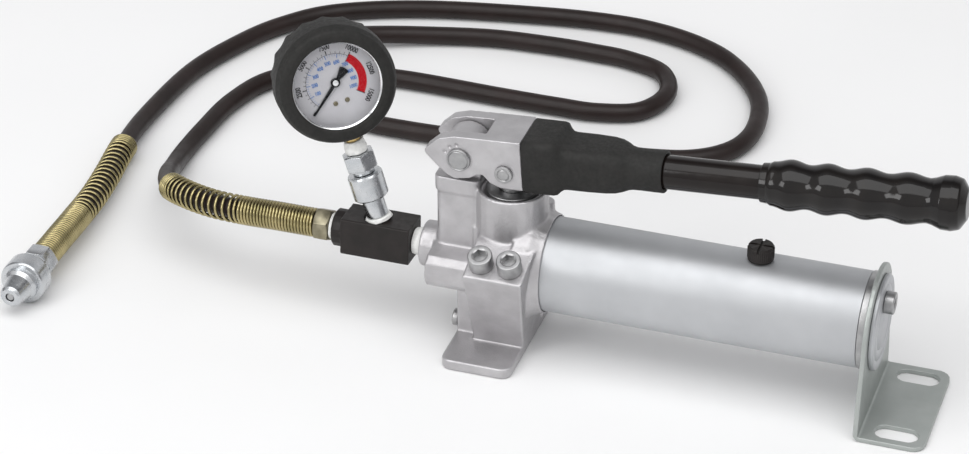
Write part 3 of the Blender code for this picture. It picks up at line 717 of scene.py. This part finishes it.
def hose():
    dense = smooth_route(HOSE_ROUTE)
    line = evenly_spaced(dense, HOSE_LENGTH + 1)
    centres = evenly_spaced(dense, HOSE_CENTRES)
    tube = stands_for(tube_along("hose_cover", centres, HOSE_R, 8), "hose_tube")
    near_turns = [(50, CLOSED_PITCH), (6, 3.4), (59, 5.1), (4, 3), (7, CLOSED_PITCH)]
    near = coil("spring_near", line, 1.0, near_turns)
    far_turns = [(7, CLOSED_PITCH), (4, 3), (84, 5.6), (6, 3.6), (56, CLOSED_PITCH)]
    far = coil("spring_far", line, HOSE_LENGTH - FAR_SPRING, far_turns)
    stands_for(near, "spring_guard_pump")
    stands_for(far, "spring_guard_far")
    return tube, centres, [near, far]


def hose_end():
    place = facing((COUPLER_X, 0, COUPLER_Z), (0, -1, 0))
    nut = hex_piece("hose_end_nut", 20, 31.3, 43, place, bore=2.5)
    stands_for(nut, "hose_end_hex")
    collar = [
        (3, 60, 0), (3, 81, 0.3), (5.9, 81, 0.4), (7.3, 79.3, 0.6), (9.6, 68.4, 0.8),
        (11.5, 66.3, 0.6), (11.5, 63, 0.2), (14.4, 63, 0.5), (15, 61.6, 0.4), (15, 50.6, 0.4),
        (14.2, 49.1, 0.5), (10.5, 48.9, 0.4), (10.5, 43.3, 0.5), (0, 43.3, 0), (0, 60, 0),
    ]
    body = lathe("coupler_sleeve", collar, place, 240)
    ripple(body, 60, 0.45, 51, 61.5, 14.5, 0.7)
    stands_for(body, "coupler_body")
    pin = lathe("coupler_pin", [(0, 64, 0), (2.6, 64, 0.2), (2.6, 80.5, 0.8), (0, 80.5, 0)], place)
    stands_for(pin, "coupler_poppet")
    return [nut, body, pin]


# --- Pump head -----------------------------------------------------------------------------


def pump_head():
    cheek = [
        (-31.9, 56), (-30.8, 64), (-26.5, 67.6), (-9, 69.5), (-9, 62), (-25.6, 62), (-28.6, 56),
    ]
    crown = ring("lug_crown", 13.8, 6.3, -8, 8, facing(FULCRUM, (0, 1, 0)), 0.3, 64)
    extra = [prism("relief_cheek", cheek, -47.2, -14, "YZ"), crown]
    panel = [(-33, 67), (-20.5, 67), (-20.5, 87), (-33, 87)]
    flush = prism("flush_panel", panel, -16, -13.02, "XZ")
    stands_for(cast_copy("pump_head", 0.75, 11, extra, (flush,)), "pump_head")


def head_pieces():
    gland = [
        (8.3, 92.3, 0), (13.1, 92.3, 0), (13.1, 107.7, 0), (16.5, 107.7, 0.2), (16.5, 111, 0.6),
        (8.3, 111, 0.5),
    ]
    stands_for(lathe("gland_ring", gland, Matrix()), "gland_nut")
    stands_for(cast_copy("plunger", 0.4, 2), "plunger")
    for node, base in VALVE_SCREWS.items():
        place = facing(base, (0, -math.sin(LEDGE_TILT), math.cos(LEDGE_TILT)))
        stands_for(socket_screw(node + "_fine", 5, -10, 0.3, 7.7, 10.1, 8, 5, place), node)
    place = towards_outlet(-7, 12)
    stands_for(socket_screw("drain_plug_fine", 4, 23, 32.3, 5.5, 36, 5, 33.5, place), "drain_plug")
    knob = [
        (0, 47.3, 0), (5.3, 47.3, 0), (5.3, 40.3, 0), (8.9, 40.3, 0.5), (9.5, 41, 0.4),
        (9.5, 49.2, 0.5), (8.8, 50, 0.5), (0, 50, 0),
    ]
    wheel = lathe("release_wheel", knob, towards_outlet(26, 50), 192)
    stands_for(ripple(wheel, 32, 0.5, 41.3, 49.3, 9, 0.8), "release_knob")


def socket_screw(name, shank, tip, seat, head, top, across, socket_floor, place):
    """A cylinder-head screw with a hexagon socket, its rims rounded."""
    corners = [
        (0, tip, 0), (shank, tip, 0.6), (shank, seat, 0), (head, seat, 0.3), (head, top, 0.9),
        (across / 2 + 1.1, top, 0.1), (across / 2 + 0.2, top - 0.6, 0), (0, top - 0.6, 0),
    ]
    screw = lathe(name, corners, place)
    hexagon = polygon(6, across)
    socket = prism(name + "_socket", hexagon, socket_floor, top + 2, "XY", place)
    return carve(screw, "DIFFERENCE", socket)


# --- Reservoir and rear end ----------------------------------------------------------------


def reservoir():
    axis = along_x(0, 0, TUBE_Z)
    tube = ring("reservoir_shell", TUBE_R, 27, 14.5, TUBE_END, axis, 0.5, 160)
    place = Matrix.Translation((FILLER_X * MM, 0, 0))
    hole = [(0, 80, 0), (6.4, 80, 0), (6.4, 95, 0), (0, 95, 0)]
    carve(tube, "DIFFERENCE", lathe("filler_hole", hole, place, 48))
    stands_for(tube, "reservoir_tube")
    cap_corners = [
        (0, 84.5, 0), (6, 84.5, 0.3), (6, 91.3, 0), (8.1, 91.3, 0.2), (8.35, 92, 0.2),
        (8.35, 98.6, 0.4), (7.4, 100, 0.5), (0, 100, 0),
    ]
    cap = ripple(lathe("vent_cap_fine", cap_corners, place, 240), 40, 0.4, 92.3, 98.8, 8, 0.8)
    slots = [
        prism("slot_a", [(-12, -0.9), (12, -0.9), (12, 0.9), (-12, 0.9)], 98, 102, "XY", place),
        prism("slot_b", [(-0.9, -12), (0.9, -12), (0.9, 12), (-0.9, 12)], 98.01, 102, "XY", place),
    ]
    stands_for(carve(cap, "DIFFERENCE", *slots), "filler_cap")
    stands_for(ring("vent_cap_seal", 8, 6.5, 90.3, 91, place, 0.3), "filler_seal")


def rear_end():
    axis = along_x(0, 0, TUBE_Z)
    cap = [
        (0, 214, 0), (26.7, 214, 0.4), (26.7, 226.3, 0), (30.5, 226.3, 0.2), (30.5, 230.3, 0.3),
        (0, 230.3, 0),
    ]
    hole = [(0, 190, 0), (4.4, 190, 0), (4.4, 245, 0), (0, 245, 0)]
    screw_axis = along_x(0, 0, TIE_ROD_Z)
    plug = lathe("end_plug", cap, axis, 128)
    carve(plug, "DIFFERENCE", lathe("end_hole", hole, screw_axis, 48))
    stands_for(plug, "end_cap")
    low, high = PLATE_FACE + GAP, PLATE_FACE + 3
    disc = [(0, low, 0), (30, low, 0.2), (30, high - 0.8, 0.3), (29.2, high, 0.2)]
    for radius in (24, 17):
        disc += [(radius + 0.7, high, 0), (radius, high - 0.5, 0), (radius - 0.7, high, 0)]
    disc.append((0, high, 0))
    cover = lathe("end_cover", disc, axis, 128)
    carve(cover, "DIFFERENCE", lathe("cover_hole", hole, screw_axis, 48))
    stands_for(cover, "end_disc")
    seat = high + GAP
    screw = socket_screw("end_screw_fine", 4, 196, seat, 7, seat + 6, 6, high + 2.3, screw_axis)
    stands_for(ripple(screw, 36, 0.3, high + 1, high + 5.2, 6.8, 0.8), "end_cap_screw")
    bend = rounded([
        (229, -1, 0), (236, -1, 0), (236, 0, 0), (PLATE_X, 0, 4.5), (PLATE_X, 6, 0), (229, 6, 0),
    ])
    corner = prism("outer_bend", bend, -60, 60, "XZ")
    stands_for(cast_copy("rear_bracket", 0.6, 3, (), (corner,)), "rear_bracket")


# --- Lever ---------------------------------------------------------------------------------


def handle_frame():
    return Matrix.Translation(Vector(HANDLE_START) * MM) @ Matrix.Rotation(-HANDLE_TILT, 4, "Y")


def stake_marks():
    """The small punched dents that lock the fulcrum pin in the fork's near side."""
    corners = [(0, -FORK_HALF - 1, 0), (2.5, -FORK_HALF - 1, 0), (0, -FORK_HALF + 1.5, 0)]
    for angle in STAKE_ANGLES:
        x = FULCRUM[0] + STAKE_CIRCLE_R * math.cos(math.radians(angle))
        z = FULCRUM[2] + STAKE_CIRCLE_R * math.sin(math.radians(angle))
        yield lathe("stake_" + str(angle), corners, facing((x, 0, z), (0, 1, 0)), 16)


def lever():
    stands_for(cast_copy("lever_fork", 0.5, 4, (), tuple(stake_marks())), "lever_fork")
    for node, centre, radius, head, mark in (
        ("fulcrum_pin", FULCRUM, 6, 7.6, 6.2), ("plunger_pin", PLUNGER_PIN, 4.5, 5.8, 3.6),
    ):
        start = -FORK_HALF - GAP
        corners = [
            (0, start - 1.7, 0), (mark - 0.5, start - 1.7, 0.1), (mark, start - 1.3, 0.1),
            (mark + 0.5, start - 1.8, 0.1), (head - 0.2, start - 1.7, 0.5), (head, start, 0.2),
            (radius, start, 0), (radius, FORK_HALF + 1, 0.4), (0, FORK_HALF + 1, 0),
        ]
        stands_for(lathe(node + "_fine", corners, facing(centre, (0, 1, 0))), node)
    turned = handle_frame() @ Matrix.Rotation(math.pi / 2, 4, "Y")
    shaft = [(0, 20.4, 0), (SHAFT_R, 20.4, 0.5), (SHAFT_R, 266, 0.5), (0, 266, 0)]
    stands_for(lathe("handle_bar", shaft, turned), "handle_shaft")
    grip = [(0, 266.4, 0), (10.8, 266.4, 0), (10.8, 157.5, 0.3), (12, 157.5, 0.5), (12.4, 162, 2)]
    for low, high in zip(GRIP_VALLEYS, GRIP_VALLEYS[1:]):
        for step in range(GRIP_STEPS):
            share = step / GRIP_STEPS
            swell = 0.5 - 0.5 * math.cos(math.tau * share)
            grip.append((GRIP_VALLEY_R + GRIP_SWELL * swell, low + (high - low) * share, 0))
    grip += [
        (GRIP_VALLEY_R, GRIP_VALLEYS[-1], 0), (14.2, 261.5, 2), (16.3, 267, 2), (16.6, 273, 3),
        (15.2, 278, 3), (9, 282, 3), (0, 282, 0),
    ]
    stands_for(lathe("handle_grip_fine", grip, turned, 96, 180), "handle_grip")
    lever_boot()


def boot_ring(along, half, low, high, corner):
    outline = rounded([
        (-half, low, corner), (half, low, corner), (half, high, corner), (-half, high, corner),
    ], 8)
    return [Vector((along, across, up)) * MM for across, up in outline]


def lever_boot():
    """The rubber sleeve: square over the fork, stepping down to a round neck on the shaft."""
    wide, middle = (18.3, -16.9, 19.4), (16, -13.4, 14.5)
    outer = [
        (11.6, 17.9, -16.5, 19, 5), (12.1, *wide, 5), (22, *wide, 5.2), (30.5, *wide, 5.4),
        (32.6, 18.0, -16.5, 19.0, 5.6), (34.4, 17.0, -14.9, 16.6, 6), (36.4, 16.2, -13.7, 14.9, 6),
        (39, *middle, 6), (52, 16.1, -13.5, 14.6, 6.5), (63, 16.1, -13.5, 14.5, 7.5),
        (68.5, 15.8, -13.6, 14.3, 9), (72.5, 14.9, -13.5, 13.9, 11),
        (75.6, 13.7, -13.2, 13.3, 12.6), (78.5, 13.0, -12.95, 12.95, 12.7),
        (84, 12.9, -12.85, 12.85, 12.7), (91, 13, -13, 13, 12.8),
        (97.4, 13.05, -13.05, 13.05, 12.9), (98, 12.7, -12.7, 12.7, 12.5),
    ]
    bore = SHAFT_R + GAP
    inner = [
        (97.6, bore + 0.3, -bore - 0.3, bore + 0.3, bore), (60, bore, -bore, bore, bore - 0.1),
        (33.5, bore, -bore, bore, bore - 0.1), (32.3, 15.6, -13.8, 16.3, 1.5),
        (11.8, 15.6, -13.8, 16.3, 1.5),
    ]
    bm = bmesh.new()
    loops = [[bm.verts.new(point) for point in boot_ring(*size)] for size in outer + inner]
    for here, after in zip(loops, loops[1:] + loops[:1]):
        for i in range(len(here)):
            j = (i + 1) % len(here)
            bm.faces.new((here[i], here[j], after[j], after[i]))
    stands_for(add_mesh("lever_sleeve", bm, handle_frame(), 180), "lever_boot")


# --- Outlet and gauge ----------------------------------------------------------------------


def wrinkle(obj, depth):
    """Uneven turns of thread tape: the rim swells and sinks a little."""
    for vertex in obj.data.vertices:
        angle = math.atan2(vertex.co.y, vertex.co.x)
        height = vertex.co.z / MM
        wave = math.sin(3 * angle + height) + 0.7 * math.sin(7 * angle - 2.3 * height)
        vertex.co.x *= 1 + depth * wave
        vertex.co.y *= 1 + depth * wave
    return obj


def outlet():
    place = towards_outlet(0, OUTLET_Z)
    nipple = ring("outlet_pipe", 6, 2.5, 45.9, 78, place, 0.3)
    stands_for(nipple, "outlet_nipple")
    washer = [(6.3, 57.8, 0), (8.7, 57.8, 0.8), (8.9, 61, 0.4), (8.3, 64.2, 0.8), (6.3, 64.2, 0)]
    stands_for(wrinkle(lathe("outlet_tape", washer, place), 0.015), "outlet_seal_ring")
    stands_for(cast_copy("gauge_tee", 0.4, 2), "gauge_tee")
    washer = [(6.3, 117.3, 0), (8.5, 117.3, 0.5), (8.5, 119.7, 0.5), (6.3, 119.7, 0)]
    stands_for(wrinkle(lathe("hose_tape", washer, place), 0.015), "hose_seal_ring")
    fitting = hex_piece("hose_nut", 19, 120, 130, place)
    thread = [(0, 103, 0), (6, 103, 0.4), (6, 121, 0), (0, 121, 0)]
    carve(fitting, "UNION", lathe("hose_thread", thread, place, 64))
    hole = [(0, 100, 0), (2.5, 100, 0), (2.5, 133, 0), (0, 133, 0)]
    carve(fitting, "DIFFERENCE", lathe("hose_bore", hole, place, 48))
    dress(stands_for(fitting, "hose_hex_fitting", "yellow_zinc"), "olive")


def gauge_stem():
    port = facing(GAUGE_PORT, STEM_AXIS)
    adapter = [
        (1.5, -8.5, 0), (5, -8.5, 0.3), (5, 3.4, 0), (7, 3.4, 0.3), (7, 15.7, 0.3),
        (5.5, 15.7, 0), (5.5, 33, 0), (1.5, 33, 0),
    ]
    stands_for(lathe("adapter_fine", adapter, port), "gauge_adapter")
    washer = [(5.3, 0.3, 0), (8.7, 0.3, 0.5), (8.4, 3.1, 0.8), (5.3, 3.1, 0)]
    stands_for(wrinkle(lathe("port_tape", washer, port), 0.02), "port_seal_ring")
    collar = [
        (5.8, 16, 0.2), (9.8, 16, 0.4), (11.25, 17.4, 0.4), (11.25, 31.6, 0.5), (10.6, 33, 0.4),
        (5.8, 33, 0.2),
    ]
    knurled = ripple(lathe("collar_fine", collar, port, 360), 60, 0.65, 17.8, 31.2, 11, 0.8)
    stands_for(knurled, "gauge_collar")
    nut = hex_piece("gauge_nut", 19, 36.6, 47.4, port)
    neck = [(0, 33.3, 0), (7, 33.3, 0.3), (7, 37, 0), (0, 37, 0)]
    carve(nut, "UNION", lathe("gauge_neck", neck, port, 64))
    hole = [(0, 38, 0), (4.8, 38, 0), (4.8, 50, 0), (0, 50, 0)]
    stands_for(carve(nut, "DIFFERENCE", lathe("nut_bore", hole, port, 48)), "gauge_hex")
    wrap = [
        (4.8, 47.7, 0), (7, 47.7, 0.8), (7.3, 51, 1), (6.6, 54.4, 1), (6.2, 56, 0.5), (4.8, 56, 0),
    ]
    stands_for(wrinkle(lathe("stem_tape", wrap, port), 0.03), "gauge_tape")
    stands_for(ring("stem_pipe", 4.5, 1.5, 38.4, 74, port), "gauge_stem")


def gauge_frame():
    out = (DIAL_LOOKS - STEM_AXIS * DIAL_LOOKS.dot(STEM_AXIS)).normalized()
    centre = GAUGE_PORT + STEM_AXIS * STEM_TO_CENTRE
    turn = Matrix((STEM_AXIS.cross(out), STEM_AXIS, out)).transposed()
    return Matrix.Translation(centre * MM) @ turn.to_4x4()


def gauge():
    place = gauge_frame()
    port = facing(GAUGE_PORT, STEM_AXIS)
    boot = [
        (28, 16.6, 0.5), (28.6, 15.3, 0.2), (34, 15.3, 0), (34, -13.3, 0), (24, -13.3, 0),
        (24, -16, 0.8), (35.2, -16, 2), (37.6, -12.6, 1.5), (37.6, -4.6, 0.6), (38, -3.6, 0.5),
        (38, 10.2, 5), (35.6, 16.4, 3), (32.2, 17.3, 2), (29.2, 17.2, 0.8),
    ]
    hole = [(0, 50, 0), (4.9, 50, 0), (4.9, 80, 0), (0, 80, 0)]
    sleeve = lathe("gauge_sleeve", boot, place, 288)
    ripple(sleeve, 18, 1.2, -15.5, -5, 35.4, 0.6)
    carve(sleeve, "DIFFERENCE", lathe("sleeve_hole", hole, port, 48))
    stands_for(sleeve, "gauge_boot")
    case = [
        (0, -13, 0), (33.7, -13, 1), (33.7, 12.2, 0.2), (31.7, 12.2, 0.1), (31.7, -11, 1),
        (0, -11, 0),
    ]
    shell = lathe("gauge_shell", case, place, 128)
    stands_for(carve(shell, "DIFFERENCE", lathe("shell_hole", hole, port, 48)), "gauge_case")
    bezel = [
        (27, 12.5, 0.1), (33.7, 12.5, 0.2), (33.7, 14.8, 0.3), (27.9, 15.1, 0.5), (27, 14.2, 0.3),
    ]
    dress(stands_for(lathe("gauge_rim", bezel, place, 160), "gauge_bezel"), "chrome")
    lens = [(0, 10, 0), (31.3, 10, 0.2), (31.3, 12, 0.2), (0, 12, 0)]
    stands_for(lathe("gauge_glass", lens, place, 128), "gauge_lens")
    face = [(1.6, 5.5, 0), (31.3, 5.5, 0), (31.3, 6.3, 0.1), (1.6, 6.3, 0.1)]
    stands_for(lathe("dial_plate", face, place, 128), "gauge_dial")
    dial_print(place)
    needle(place)


def on_dial(angle, radius):
    """The spot at a clockwise angle from the dial's top, in degrees."""
    turn = math.radians(angle)
    return radius * math.sin(turn), radius * math.cos(turn)


def printed(name, outlines, place, look):
    """Flat printed shapes, as one thin mesh."""
    bm = bmesh.new()
    for outline in outlines:
        lower = [bm.verts.new((x * MM, y * MM, PRINT_LOW * MM)) for x, y in outline]
        upper = [bm.verts.new((x * MM, y * MM, PRINT_HIGH * MM)) for x, y in outline]
        bm.faces.new(lower[::-1])
        bm.faces.new(upper)
        for i in range(len(outline)):
            j = (i + 1) % len(outline)
            bm.faces.new((lower[i], lower[j], upper[j], upper[i]))
    adds_to(add_mesh(name, bm, place), "gauge_dial", look)


def band(start, end, inner, outer, steps=48):
    angles = [start + (end - start) * i / steps for i in range(steps + 1)]
    return [on_dial(a, outer) for a in angles] + [on_dial(a, inner) for a in reversed(angles)]


def tick(angle, inner, outer, width):
    spread = math.degrees(width / 2 / outer)
    return [
        on_dial(angle - spread, inner), on_dial(angle - spread, outer),
        on_dial(angle + spread, outer), on_dial(angle + spread, inner),
    ]


def pressure_angle(pressure):
    return -SCALE_END + 2 * SCALE_END * pressure / TOP_PRESSURE


def number(text, size, angle, radius, turned):
    """The outline mesh of a number, centred on its spot in the dial's frame."""
    font = bpy.data.curves.new("number", "FONT")
    font.body = text
    font.size = 1
    font.align_x = "CENTER"
    font.align_y = "CENTER"
    font.extrude = 0.007
    font.offset = 0.03
    font.resolution_u = 3
    holder = add_object("number", font, Matrix())
    graph = bpy.context.evaluated_depsgraph_get()
    mesh = bpy.data.meshes.new_from_object(holder.evaluated_get(graph))
    bpy.data.objects.remove(holder, do_unlink=True)
    x, y = on_dial(angle, radius)
    spot = Matrix.Translation(Vector((x, y, PRINT_HIGH)) * MM)
    turn = Matrix.Rotation(-math.radians(angle), 4, "Z") if turned else Matrix()
    narrow = Matrix.Diagonal((DIGIT_WIDTH * size * MM, DIGIT_HEIGHT * size * MM, size * MM, 1))
    mesh.transform(spot @ turn @ narrow)
    return mesh


def numbers(name, meshes, place, look):
    """A row of numbers, as one mesh."""
    bm = bmesh.new()
    for mesh in meshes:
        bm.from_mesh(mesh)
    adds_to(add_mesh(name, bm, place), "gauge_dial", look)


def dial_print(place):
    """The outer scale in black, the bar scale in blue, the red zone and the dial's two screws."""
    place = place @ Matrix.Diagonal((PRINT_SCALE, PRINT_SCALE, 1, 1))
    red_start = pressure_angle(RED_PRESSURE)
    black = [band(-SCALE_END, red_start, 19.05, 19.3)]
    for step in range(21):
        major = step % 5 == 0
        angle = pressure_angle(step * 500)
        black.append(tick(angle, 19.2, 22.0 if major else 20.9, 0.7 if major else 0.28))
    black.append(tick(SCALE_END, 14.8, 21.2, 0.7))
    black.append(tick(red_start, 14.8, 21.2, 0.5))
    printed("dial_scale_black", black, place, "ink_black")
    blue = []
    for step in range(1, 36):
        major = step % 5 == 0
        angle = -SCALE_END + step * BAR_STEP / 5
        if angle < red_start - 2:
            blue.append(tick(angle, 16.2 if major else 17.4, 18.9, 0.5 if major else 0.2))
    printed("dial_scale_blue", blue, place, "ink_blue")
    printed("dial_red_zone", [band(red_start, SCALE_END, 15.3, 20.7)], place, "ink_red")
    outer = [
        number(str(value), 4.5, pressure_angle(value), 24.3, True)
        for value in range(0, TOP_PRESSURE + 1, 2500)
    ]
    numbers("dial_numbers_black", outer, place, "ink_black")
    inner = [
        number(str(100 * k), 3.4, -SCALE_END + k * BAR_STEP, 13.4 if k < 8 else 12.2, False)
        for k in range(1, 11)
    ]
    numbers("dial_numbers_blue", inner, place, "ink_blue")
    for side, x in (("left", -4), ("right", 4)):
        spot = place @ Matrix.Translation((x * MM, -13.8 * MM, 0))
        head = [(0, 6.35, 0), (1.6, 6.35, 0), (1.6, 6.8, 0.2), (0, 7.1, 0)]
        screw = lathe("dial_screw_" + side, head, spot, 48)
        groove = [(-3, -0.2), (3, -0.2), (3, 0.2), (-3, 0.2)]
        carve(screw, "DIFFERENCE", prism("groove", groove, 6.7, 8, "XY", spot))
        adds_to(screw, "gauge_dial", "olive")


def needle(place):
    turned = place @ Matrix.Rotation(math.radians(SCALE_END), 4, "Z")
    pointer = [
        (-3.3, -10.2), (-1.2, -10.9), (1.2, -10.9), (3.3, -10.2), (1.2, -3), (1.2, 0), (0.55, 24.5),
        (-0.55, 24.5), (-1.2, 0), (-1.2, -3),
    ]
    arm = prism("needle_arm", pointer, 7.35, 7.95, "XY", turned)
    hub = [(0, 2, 0), (1.3, 2, 0), (1.3, 6.9, 0), (3, 6.9, 0.2), (3, 8.3, 0.4), (0, 8.3, 0)]
    carve(arm, "UNION", lathe("needle_hub", hub, turned, 64))
    dress(stands_for(soften(arm, 0.12), "gauge_needle"), "ink_black")
    cap = [(0, 8.3, 0), (1.9, 8.3, 0.1), (1.9, 8.7, 0.3), (0, 9.1, 0)]
    adds_to(lathe("needle_cap", cap, turned, 48), "gauge_needle", "chrome")


def dress_inner_nodes():
    """CAD nodes that stay, most of them inside, wear their slots' finishes."""
    for name, node in NODES.items():
        if not node.hide_render:
            dress(node, SLOT_OF[name])


set_camera()
hose_piece, hose_line, springs = hose()
end_pieces = hose_end()
outlet()
[tuple(centre * MM) for centre in hose_line]
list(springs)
set_light()
lay_floor()
pump_head()
head_pieces()
reservoir()
rear_end()
lever()
gauge_stem()
gauge()
dress_inner_nodes()
